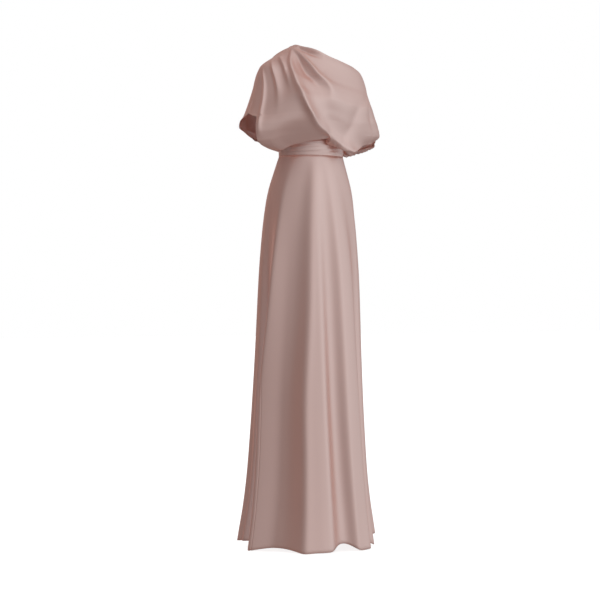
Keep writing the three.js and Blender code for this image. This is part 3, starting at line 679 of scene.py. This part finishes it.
def sew_wall(name, grid, thickness, hemmed):
    """A piece of cloth over a grid of points, with its flat places and its distances to a hem."""
    points, faces, border = closed_wall(grid, thickness)
    mesh = bpy.data.meshes.new(name)
    mesh.vertices.add(len(points))
    mesh.vertices.foreach_set("co", ((points - SHOULDER) * MM).ravel())
    mesh.loops.add(faces.size)
    mesh.loops.foreach_set("vertex_index", faces.ravel())
    mesh.polygons.add(len(faces))
    mesh.polygons.foreach_set("loop_start", np.arange(0, faces.size, 4))
    mesh.update(calc_edges=True)
    mesh.polygons.foreach_set("use_smooth", np.ones(len(faces), bool))

    flat_uv = np.stack(cloth_lengths(grid), axis=-1).reshape(-1, 2)
    vertex_uv = np.concatenate([flat_uv, flat_uv, flat_uv[border]])
    mesh.uv_layers.new(name="Cloth").data.foreach_set("uv", vertex_uv[faces.ravel()].ravel())
    to_hem = edge_lengths(grid, hemmed).ravel()
    from_hem = mesh.attributes.new(name="from_hem", type="FLOAT", domain="POINT")
    from_hem.data.foreach_set("value", np.concatenate([to_hem, to_hem, to_hem[border]]))
    mesh.validate()

    piece = bpy.data.objects.new(name, mesh)
    bpy.context.scene.collection.objects.link(piece)
    return piece


def cut_area(grid):
    """Flat area of the cloth under a grid, in square metres."""
    a, b, c, d = grid[:-1, :-1], grid[1:, :-1], grid[1:, 1:], grid[:-1, 1:]
    halves = np.cross(b - a, c - a), np.cross(c - a, d - a)
    return float(sum(np.linalg.norm(half, axis=-1).sum() for half in halves) / 2) * MM * MM


def dress_up(piece, node, grid):
    """Gives a piece its satin and its place among the parts of the frame."""
    piece.data.materials.append(satin_material())
    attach(piece, BODY)
    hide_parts(node)
    across, down = cloth_lengths(grid)
    width, length = float(np.ptp(across, axis=1).max()), float(down.max())
    min(cut_area(grid), width * length)


def fill_inputs(tree, node, inputs):
    """Links the sockets among a node's new inputs, and sets the rest as plain values."""
    for name, value in inputs.items():
        if isinstance(value, bpy.types.NodeSocket):
            tree.links.new(value, node.inputs[name])
        else:
            node.inputs[name].default_value = value


def add_node(tree, kind, inputs, **settings):
    """Adds a shader node with its settings and inputs."""
    node = tree.nodes.new(f"ShaderNode{kind}")
    for name, value in settings.items():
        setattr(node, name, value)
    fill_inputs(tree, node, inputs)
    return node


def hem_stitches(tree, cloth, settings):
    """1 along a broken line of stitches beside each hem, and 0 elsewhere."""
    def math_node(operation, *inputs):
        return add_node(tree, "Math", dict(enumerate(inputs)), operation=operation).outputs["Value"]

    from_hem = add_node(tree, "Attribute", {}, attribute_name="from_hem").outputs["Fac"]
    line = math_node("COMPARE", from_hem, settings.hem_depth, settings.stitch_width / 2)
    along = add_node(tree, "VectorMath", {0: cloth, 1: (1, 1, 0)}, operation="DOT_PRODUCT")
    beat = math_node("PINGPONG", along.outputs["Value"], settings.stitch_length)
    thread = math_node("GREATER_THAN", beat, settings.stitch_length * STITCH_GAP)
    return math_node("MULTIPLY", line, thread)


def satin_material():
    """Smooth satin: a soft broad sheen over dusty rose, with a fine weave along the cloth."""
    material = bpy.data.materials.get("rose_satin")
    if material:
        return material
    settings = bpy.context.scene.dress_satin
    material = bpy.data.materials.new("rose_satin")
    material.use_nodes = True
    tree = material.node_tree
    cloth = add_node(tree, "UVMap", {}, uv_map="Cloth").outputs["UV"]

    mottle = add_node(tree, "TexNoise", {
        "Vector": cloth,
        "Scale": settings.mottle_scale,
        "Detail": MOTTLE_DETAIL,
    })
    colour = add_node(tree, "Mix", {
        "A": (*settings.colour, 1),
        "B": (*settings.shade_colour, 1),
        "Factor": mottle.outputs["Fac"],
    }, data_type="RGBA")

    threads = add_node(tree, "Mapping", {
        "Vector": cloth,
        "Scale": (settings.thread_scale, settings.thread_scale / THREAD_LENGTH, 1),
    })
    weave = add_node(tree, "TexNoise", {
        "Vector": threads.outputs["Vector"],
        "Scale": 1.0,
        "Detail": WEAVE_DETAIL,
    })
    woven = add_node(tree, "Bump", {
        "Strength": settings.weave_strength,
        "Distance": settings.weave_depth,
        "Height": weave.outputs["Fac"],
    })
    stitched = add_node(tree, "Bump", {
        "Strength": settings.stitch_strength,
        "Distance": settings.stitch_depth,
        "Height": hem_stitches(tree, cloth, settings),
        "Normal": woven.outputs["Normal"],
    }, invert=True)

    fill_inputs(tree, tree.nodes["Principled BSDF"], {
        "Base Color": colour.outputs["Result"],
        "Roughness": settings.roughness,
        "Specular IOR Level": settings.gloss,
        "IOR": settings.fibre_index,
        "Sheen Weight": settings.sheen,
        "Sheen Roughness": settings.sheen_roughness,
        "Normal": stitched.outputs["Normal"],
    })
    return material


class DressSatinSettings(bpy.types.PropertyGroup):
    """Colour and finish of the satin."""

    colour: FloatVectorProperty(
        name="Colour", description="Colour of the satin", subtype="COLOR", min=0, max=1,
        default=(0.86, 0.345, 0.245),
    )
    shade_colour: FloatVectorProperty(
        name="Second colour", description="Colour that faintly mottles the satin", subtype="COLOR",
        min=0, max=1, default=(0.82, 0.32, 0.227),
    )
    roughness: FloatProperty(
        name="Roughness", description="How soft the satin's highlights are", default=0.42, min=0,
        max=1, subtype="FACTOR",
    )
    gloss: FloatProperty(
        name="Gloss", description="Strength of the highlights", default=1.0, min=0, max=1,
        subtype="FACTOR",
    )
    fibre_index: FloatProperty(
        name="Fibre index", description="Refraction of the packed satin floats", default=2.8,
        min=1, max=3,
    )
    sheen: FloatProperty(
        name="Sheen", description="Pale sheen where the cloth turns away", default=0.04, min=0,
        max=1, subtype="FACTOR",
    )
    sheen_roughness: FloatProperty(
        name="Sheen roughness", description="How wide the sheen spreads", default=0.5, min=0,
        max=1, subtype="FACTOR",
    )
    mottle_scale: FloatProperty(
        name="Mottle scale", description="Patches of faint colour change per metre", default=9.0,
        min=0,
    )
    thread_scale: FloatProperty(
        name="Thread scale", description="Threads per metre across the cloth", default=900.0, min=0,
    )
    weave_strength: FloatProperty(
        name="Weave strength", description="How much the weave catches the light", default=0.15,
        min=0, max=1, subtype="FACTOR",
    )
    weave_depth: FloatProperty(
        name="Weave depth", description="Height of the threads", default=0.0002, min=0,
        unit="LENGTH",
    )
    hem_depth: FloatProperty(
        name="Hem depth", description="From a hem's edge to its stitches", default=0.009, min=0,
        unit="LENGTH",
    )
    stitch_length: FloatProperty(
        name="Stitch length", description="Length of a stitch", default=0.0028, min=0,
        unit="LENGTH",
    )
    stitch_width: FloatProperty(
        name="Stitch width", description="Width of the line that the stitches press in",
        default=0.0009, min=0, unit="LENGTH",
    )
    stitch_strength: FloatProperty(
        name="Stitch strength", description="How much the stitches catch the light", default=0.5,
        min=0, max=1, subtype="FACTOR",
    )
    stitch_depth: FloatProperty(
        name="Stitch depth", description="How deep the stitches press in", default=0.0003, min=0,
        unit="LENGTH",
    )


class DressSewingSettings(bpy.types.PropertyGroup):
    """Sizes of the cloth, and how finely it is drawn."""

    cloth: FloatProperty(
        name="Cloth", description="Thickness of the satin", default=1.4 * MM, min=0, unit="LENGTH",
    )
    band_cloth: FloatProperty(
        name="Band cloth", description="Thickness of the waistband's layers", default=2.2 * MM,
        min=0, unit="LENGTH",
    )
    band_tuck: FloatProperty(
        name="Band tucks", description="How fully the waistband's tucks stand out", default=0.6,
        min=0, max=2, subtype="FACTOR",
    )
    fineness: IntProperty(
        name="Fineness", description="Columns across the front of the bodice", default=220, min=20,
        max=260,
    )


class DressStageSettings(bpy.types.PropertyGroup):
    """Camera and lights."""

    azimuth: FloatProperty(
        name="Azimuth", description="Turn of the camera round the dress",
        default=math.radians(-35), subtype="ANGLE",
    )
    distance: FloatProperty(
        name="Distance", description="From the camera to the middle of the dress", default=6.2,
        min=0, unit="LENGTH",
    )
    field: FloatProperty(
        name="Field", description="Width of the picture at the dress", default=1.86, min=0,
        unit="LENGTH",
    )
    key_power: FloatProperty(
        name="Key light", description="Power of the large light on the right, in watts",
        default=3.4, min=0,
    )
    fill_power: FloatProperty(
        name="Fill light", description="Power of the weak light on the left, in watts",
        default=1.0, min=0,
    )
    ambient: FloatProperty(
        name="Ambient", description="Strength of the soft light from the key light's side",
        default=0.38, min=0,
    )
    shade: FloatProperty(
        name="Shade", description="Strength of the soft light from the side away from it",
        default=1.05, min=0,
    )
    gloss_ambient: FloatProperty(
        name="Bright reflection", description="Strength of what the satin reflects on the key side",
        default=0.92, min=0,
    )
    gloss_shade: FloatProperty(
        name="Dark reflection", description="Strength of what it reflects on the other side",
        default=0.0, min=0,
    )


class DRESS_OT_bodice(bpy.types.Operator):
    """Sew the draped front and back of the cape bodice"""

    bl_idname = "dress.bodice"
    bl_label = "Bodice"

    def execute(self, context):
        sewing = context.scene.dress_sewing
        fineness = sewing.fineness
        rows = rows_through(CAPE_STOPS, [fineness // part for part in CAPE_ROW_PARTS])
        panels = {
            "bodice_front": CapePanel(1, FRONT_RINGS, FRONT_EDGE, FRONT_FOLDS),
            "bodice_back": CapePanel(-1, BACK_RINGS, BACK_EDGE, BACK_FOLDS),
        }
        for node, panel in panels.items():
            columns = fineness if panel.side > 0 else int(fineness * BACK_SHARE)
            grid = panel.grid(columns, rows)
            piece = sew_wall(f"satin_{node}", grid, sewing.cloth / MM, ("top", "sides"))
            dress_up(piece, node, grid)
        return {"FINISHED"}


class DRESS_OT_waistband(bpy.types.Operator):
    """Sew the tucked waistband"""

    bl_idname = "dress.waistband"
    bl_label = "Waistband"

    def execute(self, context):
        sewing = context.scene.dress_sewing
        for node, side in (("waistband_front", 1), ("waistband_back", -1)):
            columns = int(sewing.fineness * BAND_SHARE)
            grid = band_grid(side, columns, BAND_ROWS, sewing.band_tuck)
            piece = sew_wall(f"satin_{node}", grid, sewing.band_cloth / MM, ("top", "foot"))
            dress_up(piece, node, grid)
        return {"FINISHED"}


class DRESS_OT_skirt(bpy.types.Operator):
    """Sew the front and back of the flared skirt"""

    bl_idname = "dress.skirt"
    bl_label = "Skirt"

    def execute(self, context):
        sewing = context.scene.dress_sewing
        rows = rows_through(
            (WAIST_HEIGHT - SEAM_GAP, SKIRT_BREAK, 0),
            (SKIRT_TOP_ROWS, sewing.fineness // SKIRT_ROW_PART),
        )
        for node, side in (("skirt_front", 1), ("skirt_back", -1)):
            grid = skirt_grid(side, sewing.fineness, rows)
            piece = sew_wall(f"satin_{node}", grid, sewing.cloth / MM, ("foot",))
            dress_up(piece, node, grid)
        return {"FINISHED"}


def aim(thing, target):
    """Turns a camera or light to face a point."""
    direction = Vector(target) - thing.location
    thing.rotation_euler = direction.to_track_quat("-Z", "Y").to_euler()


def around(target, azimuth, elevation, distance):
    """A place at a distance from target. Azimuth 0 is in front of the dress."""
    back = Vector((
        math.sin(azimuth) * math.cos(elevation),
        -math.cos(azimuth) * math.cos(elevation),
        math.sin(elevation),
    ))
    return Vector(target) + back * distance


def add_camera(scene, settings, target):
    """The camera, level with the middle of the dress."""
    lens = bpy.data.cameras.new("Camera")
    lens.sensor_width = SENSOR_WIDTH
    lens.lens = lens.sensor_width * settings.distance / settings.field
    camera = bpy.data.objects.new("Camera", lens)
    camera.location = around(target, settings.azimuth, 0, settings.distance)
    aim(camera, target)
    scene.collection.objects.link(camera)
    scene.camera = camera


def floor_material():
    """A pale floor that glows, so that it stays light under the dress."""
    material = bpy.data.materials.new("pale_floor")
    material.use_nodes = True
    tree = material.node_tree
    fill_inputs(tree, tree.nodes["Principled BSDF"], {
        "Base Color": (FLOOR_GREY, FLOOR_GREY, FLOOR_GREY, 1),
        "Roughness": FLOOR_ROUGHNESS,
        "Emission Color": WHITE,
        "Emission Strength": FLOOR_GLOW,
    })
    return material


def add_floor(scene):
    """A wide floor just below the hem, which casts no colour on the satin."""
    corners = [
        (x * FLOOR_HALF, y * FLOOR_HALF, 0) for x, y in ((-1, -1), (1, -1), (1, 1), (-1, 1))
    ]
    ground = bpy.data.meshes.new("floor")
    ground.from_pydata(corners, [], [(0, 1, 2, 3)])
    ground.materials.append(floor_material())
    floor = bpy.data.objects.new("floor", ground)
    floor.location.z = float(HEM_LEVEL) - FLOOR_GAP
    scene.collection.objects.link(floor)
    floor.visible_diffuse = floor.visible_glossy = False


def add_light(scene, name, target, azimuth, place, power):
    """A large lamp, turned from the camera's azimuth and aimed at a point."""
    turn, elevation, distance, width, height = place
    lamp = bpy.data.lights.new(name, "AREA")
    lamp.shape = "RECTANGLE"
    lamp.size, lamp.size_y = width, height
    lamp.energy = power
    light = bpy.data.objects.new(name, lamp)
    light.location = around(target, azimuth + turn, elevation, distance)
    aim(light, target)
    scene.collection.objects.link(light)


def light_world(scene, settings):
    """A white backdrop. What lights the satin and what it reflects darken towards the floor."""
    world = bpy.data.worlds.new("studio")
    world.use_nodes = True
    scene.world = world
    tree = world.node_tree
    rays = add_node(tree, "LightPath", {}).outputs
    place = add_node(tree, "TexCoord", {}).outputs["Generated"]
    height = add_node(tree, "SeparateXYZ", {"Vector": place}).outputs["Z"]
    from_below = add_node(tree, "MapRange", {
        "Value": height,
        "From Min": -FLOOR_FADE,
        "From Max": 0.0,
        "To Min": FLOOR_DARK,
    }, interpolation_type="SMOOTHSTEP").outputs["Result"]

    def vector_node(operation, *inputs):
        return add_node(tree, "VectorMath", dict(enumerate(inputs)), operation=operation).outputs

    def light(turn, elevation, flatness, fall, dark, bright):
        """A sky that is bright round one direction and dark across from it."""
        brightest = around((0, 0, 0), settings.azimuth + turn, elevation, 1)
        flattened = vector_node("MULTIPLY", place, (1, 1, flatness))["Vector"]
        direction = vector_node("NORMALIZE", flattened)["Vector"]
        facing = vector_node("DOT_PRODUCT", direction, brightest)["Value"]
        share = add_node(tree, "MapRange", {"Value": facing, "From Min": -1.0}).outputs["Result"]
        curve = add_node(tree, "Math", {0: share, 1: fall}, operation="POWER").outputs["Value"]
        strength = add_node(tree, "MapRange", {"Value": curve, "To Min": dark, "To Max": bright})
        total = add_node(tree, "Math", {
            0: strength.outputs["Result"],
            1: from_below,
        }, operation="MULTIPLY").outputs["Value"]
        sky = add_node(tree, "Background", {"Color": WHITE, "Strength": total})
        return sky.outputs["Background"]

    def choose(ray, without, within):
        mix = add_node(tree, "MixShader", {"Fac": rays[ray], 1: without, 2: within})
        return mix.outputs["Shader"]

    soft = light(SOFT_TURN, SKY_ELEVATION, 1, 1, settings.shade, settings.ambient)
    gloss = light(
        GLOSS_TURN, GLOSS_ELEVATION, GLOSS_FLATNESS, GLOSS_FALL, settings.gloss_shade,
        settings.gloss_ambient,
    )
    backdrop = tree.nodes["Background"]
    fill_inputs(tree, backdrop, {"Color": WHITE})
    lit = choose("Is Glossy Ray", soft, gloss)
    seen = choose("Is Camera Ray", lit, backdrop.outputs["Background"])
    fill_inputs(tree, tree.nodes["World Output"], {"Surface": seen})


class DRESS_OT_stage(bpy.types.Operator):
    """Set out the pale floor, the soft lights and the camera"""

    bl_idname = "dress.stage"
    bl_label = "Stage"

    def execute(self, context):
        scene, settings = context.scene, context.scene.dress_stage
        scene.view_settings.view_transform = "Standard"
        target = Vector(VIEW_CENTRE) + Vector((0, 0, float(HEM_LEVEL)))
        add_camera(scene, settings, target)
        add_floor(scene)
        add_light(scene, "key", target, settings.azimuth, KEY_LIGHT, settings.key_power)
        add_light(scene, "fill", target, settings.azimuth, FILL_LIGHT, settings.fill_power)
        light_world(scene, settings)
        return {"FINISHED"}


class DRESS_PT_panel(bpy.types.Panel):
    """Lists the pieces of the dress and their settings"""

    bl_idname = "DRESS_PT_panel"
    bl_label = "One-shoulder dress"
    bl_space_type = "VIEW_3D"
    bl_region_type = "UI"
    bl_category = "Dress"

    def draw(self, context):
        layout = self.layout
        for operator in OPERATORS:
            layout.operator(operator.bl_idname)
        for name, group in SETTINGS.items():
            box = layout.box()
            box.label(text=group.__doc__)
            for setting in group.__annotations__:
                box.prop(getattr(context.scene, name), setting)


OPERATORS = (DRESS_OT_bodice, DRESS_OT_waistband, DRESS_OT_skirt, DRESS_OT_stage)
SETTINGS = {
    "dress_satin": DressSatinSettings,
    "dress_sewing": DressSewingSettings,
    "dress_stage": DressStageSettings,
}


def register():
    for part in (*SETTINGS.values(), *OPERATORS, DRESS_PT_panel):
        bpy.utils.register_class(part)
    for name, group in SETTINGS.items():
        setattr(bpy.types.Scene, name, PointerProperty(type=group))


def unregister():
    for name in SETTINGS:
        delattr(bpy.types.Scene, name)
    for part in (DRESS_PT_panel, *reversed(OPERATORS), *SETTINGS.values()):
        bpy.utils.unregister_class(part)


def main():
    register()
    bpy.ops.dress.bodice()
    bpy.ops.dress.waistband()
    bpy.ops.dress.skirt()
    bpy.ops.dress.stage()


if __name__ == "__main__":
    main()
